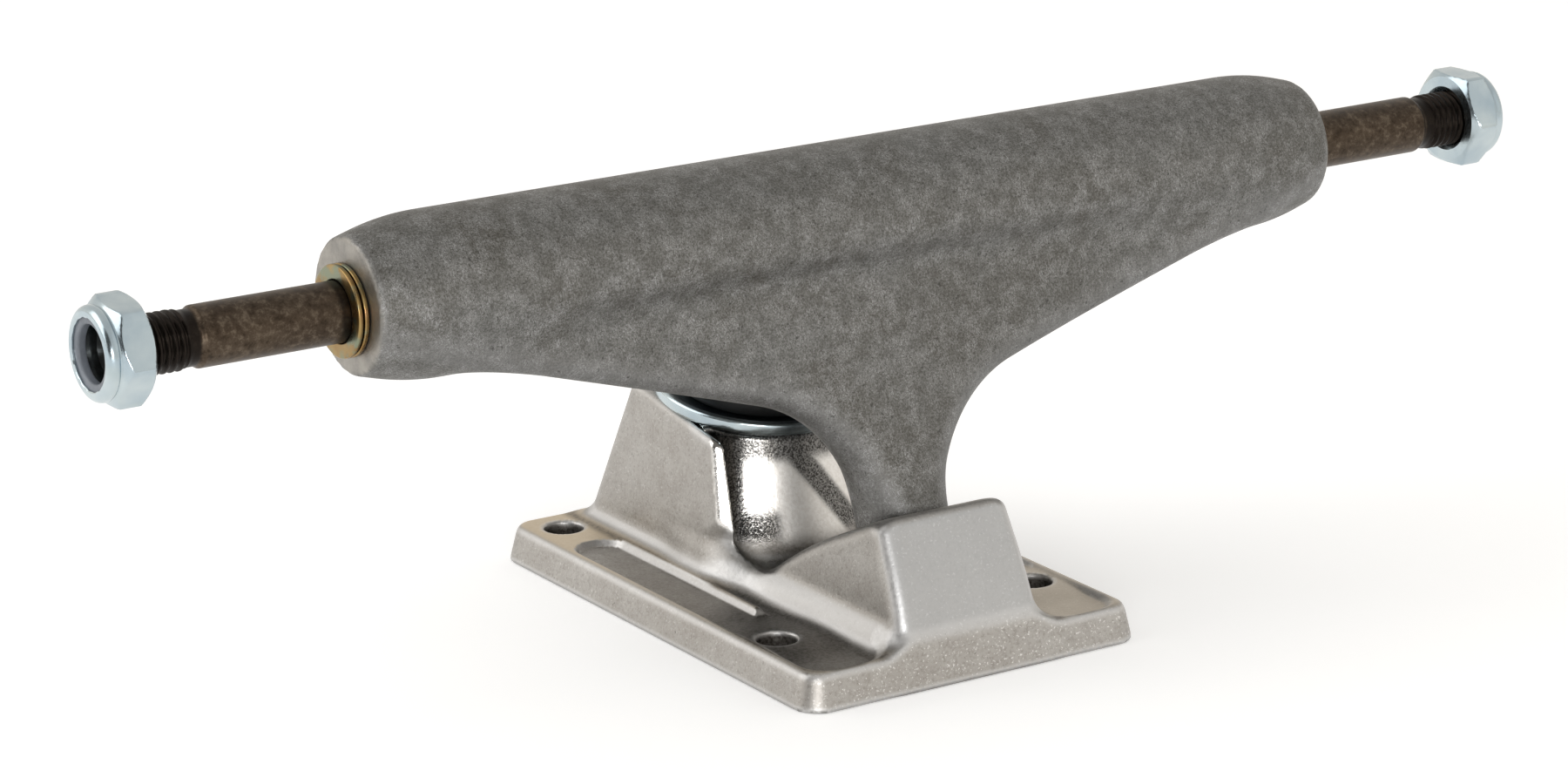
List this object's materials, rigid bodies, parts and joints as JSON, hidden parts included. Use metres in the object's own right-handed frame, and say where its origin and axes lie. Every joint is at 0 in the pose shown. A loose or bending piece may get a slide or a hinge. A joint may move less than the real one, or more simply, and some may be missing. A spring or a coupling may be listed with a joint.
{
  "type": "skateboard truck",
  "caption": "Skateboard truck: cast baseplate with kingpin and pivot cup, sprung hanger steering on urethane bushings, threaded axle with speed rings and lock nuts.",
  "frame": {"origin": "centre of the four deck bolt holes, on the mounting face", "axes": "+X along the axle, +Y from the pivot towards the kingpin, +Z away from the deck"},
  "size_m": [0.2205, 0.0785, 0.0659],
  "materials": {
    "hanger_casting": "tumbled casting",
    "plate_casting": "tumbled casting, bright edges",
    "zinc_steel": "bright zinc",
    "nylon": "natural nylon",
    "urethane": "satin",
    "cup_plastic": "moulded",
    "oxide_steel": "dark oxide",
    "gold_zinc": "yellow zinc"
  },
  "bodies": {
    "base": {"baseplate": "plate_casting", "pivot_cup": "cup_plastic", "kingpin": "zinc_steel", "lower_cup_washer": "zinc_steel", "lower_bushing": "urethane", "upper_bushing": "urethane", "upper_cup_washer": "zinc_steel"},
    "hanger": {"hanger": "hanger_casting", "axle": "oxide_steel"},
    "kingpin_nut": {"kingpin_nut": "zinc_steel", "kingpin_nut_insert": "nylon"},
    "left_axle_nut": {"left_axle_nut": "zinc_steel", "left_axle_nut_insert": "nylon"},
    "right_axle_nut": {"right_axle_nut": "zinc_steel", "right_axle_nut_insert": "nylon"},
    "left_inner_speed_ring": {"left_inner_speed_ring": "gold_zinc"},
    "left_outer_speed_ring": {"left_outer_speed_ring": "gold_zinc"},
    "right_inner_speed_ring": {"right_inner_speed_ring": "gold_zinc"},
    "right_outer_speed_ring": {"right_outer_speed_ring": "gold_zinc"}
  },
  "joints": [
    {"name": "steer", "type": "hinge", "parent": "base", "child": "hanger", "pos_m": [0, -0.0299, 0.0107], "axis": [0, 0.7964, 0.6047], "range_deg": [-15, 15], "stiffness_Nm_per_rad": 60, "deforming": ["lower_bushing", "upper_bushing"]},
    {"name": "kingpin_nut_turn", "type": "hinge", "parent": "base", "child": "kingpin_nut", "pos_m": [0, 0.00928, 0.02564], "axis": [0, -0.1564, 0.9877], "continuous": true},
    {"name": "left_axle_nut_turn", "type": "hinge", "parent": "hanger", "child": "left_axle_nut", "pos_m": [0, -0.01275, 0.0548], "axis": [-1, 0, 0], "continuous": true},
    {"name": "right_axle_nut_turn", "type": "hinge", "parent": "hanger", "child": "right_axle_nut", "pos_m": [0, -0.01275, 0.0548], "axis": [1, 0, 0], "continuous": true},
    {"name": "left_inner_speed_ring_spin", "type": "hinge", "parent": "hanger", "child": "left_inner_speed_ring", "pos_m": [0, -0.01275, 0.0548], "axis": [-1, 0, 0], "continuous": true},
    {"name": "left_outer_speed_ring_spin", "type": "hinge", "parent": "hanger", "child": "left_outer_speed_ring", "pos_m": [0, -0.01275, 0.0548], "axis": [-1, 0, 0], "continuous": true},
    {"name": "right_inner_speed_ring_spin", "type": "hinge", "parent": "hanger", "child": "right_inner_speed_ring", "pos_m": [0, -0.01275, 0.0548], "axis": [1, 0, 0], "continuous": true},
    {"name": "right_outer_speed_ring_spin", "type": "hinge", "parent": "hanger", "child": "right_outer_speed_ring", "pos_m": [0, -0.01275, 0.0548], "axis": [1, 0, 0], "continuous": true}
  ]
}
